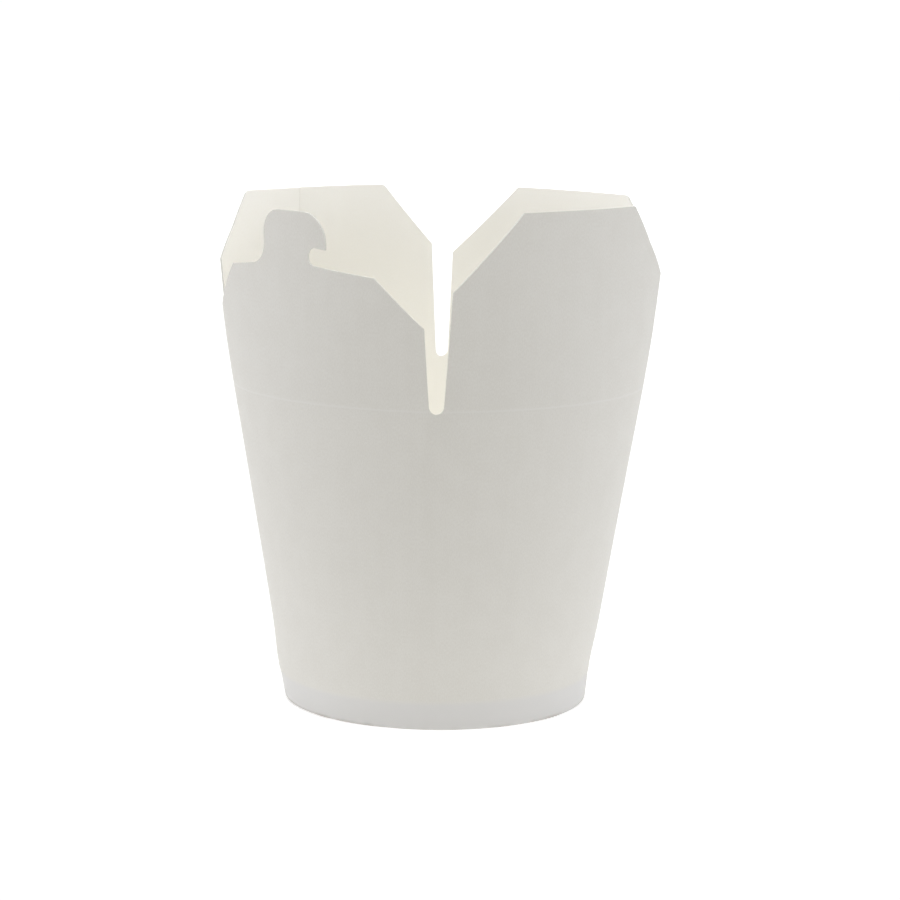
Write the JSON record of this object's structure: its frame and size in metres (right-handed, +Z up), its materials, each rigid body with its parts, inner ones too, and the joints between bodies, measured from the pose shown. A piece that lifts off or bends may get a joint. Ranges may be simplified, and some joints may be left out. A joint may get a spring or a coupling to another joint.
{
  "type": "kebab box",
  "caption": "Open paperboard takeaway box: a tapered wall on a crimped round base, with folding top flaps and a hook-shaped locking tab.",
  "frame": {"origin": "middle of the round foot, on the plane the box stands on", "axes": "+Z up through the open top; the slots between the flaps lie on -Y, +X, +Y and -X, with the hook flap between -X and -Y"},
  "size_m": [0.1067, 0.1067, 0.1226],
  "materials": {
    "card_outside": "matt white food board, outer face",
    "card_inside": "cream, thinly coated inner face with a faint sheen"
  },
  "bodies": {
    "cup": {"sleeve": "card_outside", "base": "card_inside"},
    "plain_right": {"flap_plain_right": "card_outside"},
    "plain_back": {"flap_plain_back": "card_outside"},
    "seam": {"flap_seam": "card_outside"},
    "hook": {"flap_hook": "card_outside"}
  },
  "joints": [
    {"name": "fold_plain_right", "type": "hinge", "parent": "cup", "child": "plain_right", "pos_m": [0.02523, -0.02523, 0.0774], "axis": [-0.7071, -0.7071, 0], "range_deg": [0, 100]},
    {"name": "fold_seam", "type": "hinge", "parent": "cup", "child": "seam", "pos_m": [-0.02523, 0.02523, 0.0774], "axis": [0.7071, 0.7071, 0], "range_deg": [0, 90]},
    {"name": "fold_plain_back", "type": "hinge", "parent": "cup", "child": "plain_back", "pos_m": [0.02523, 0.02523, 0.0774], "axis": [0.7071, -0.7071, 0], "range_deg": [0, 60]},
    {"name": "fold_hook", "type": "hinge", "parent": "cup", "child": "hook", "pos_m": [-0.02523, -0.02523, 0.0774], "axis": [-0.7071, 0.7071, 0], "range_deg": [0, 60]}
  ]
}
